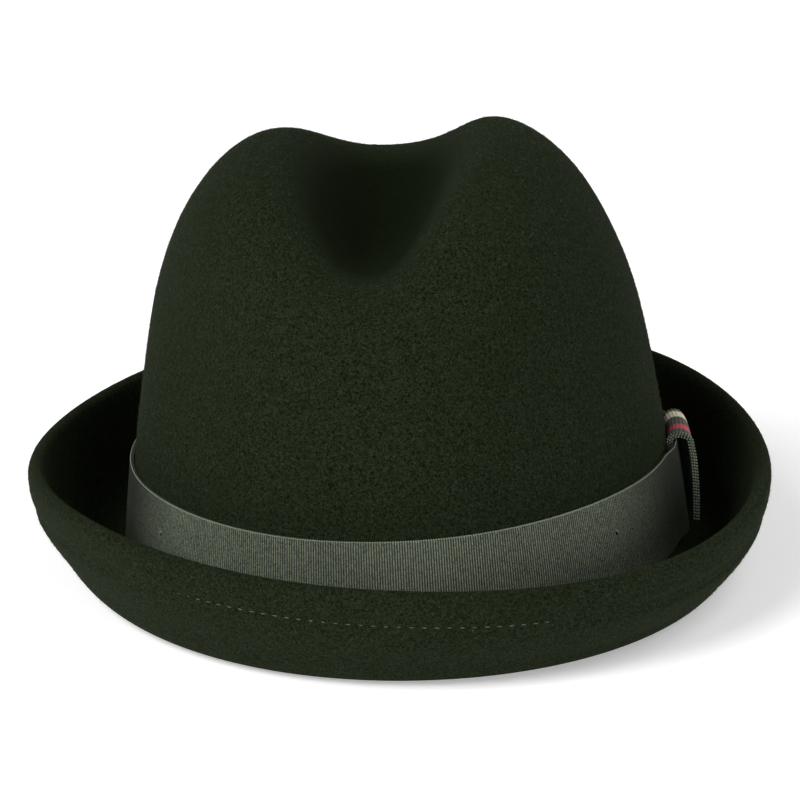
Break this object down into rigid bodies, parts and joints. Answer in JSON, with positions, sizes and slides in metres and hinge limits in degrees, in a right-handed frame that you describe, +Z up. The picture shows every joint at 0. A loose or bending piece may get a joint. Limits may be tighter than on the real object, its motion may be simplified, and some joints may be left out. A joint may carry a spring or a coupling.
{
  "type": "trilby hat",
  "caption": "Soft felt trilby with a dented, pinched crown, a brim curled up all round with a stitched fold, a ribbon band and a striped side tab.",
  "frame": {"origin": "under the middle of the brim's outline, on the plane that the brim's underside rests on", "axes": "+Z up through the crown, +Y towards the back of the hat and -Y towards its front, +X towards the wearer's left, where the tab is"},
  "size_m": [0.2284, 0.2608, 0.1345],
  "materials": {
    "felt": "very dark green wool felt with a short nap",
    "ribbon": "grey-green grosgrain with fine vertical ribs and a faint sheen",
    "tab": "dark green ribbed weave with one cream and one red stripe"
  },
  "bodies": {
    "root": {"felt_body": "felt", "hat_band": "ribbon", "side_tab": "tab"}
  },
  "joints": []
}
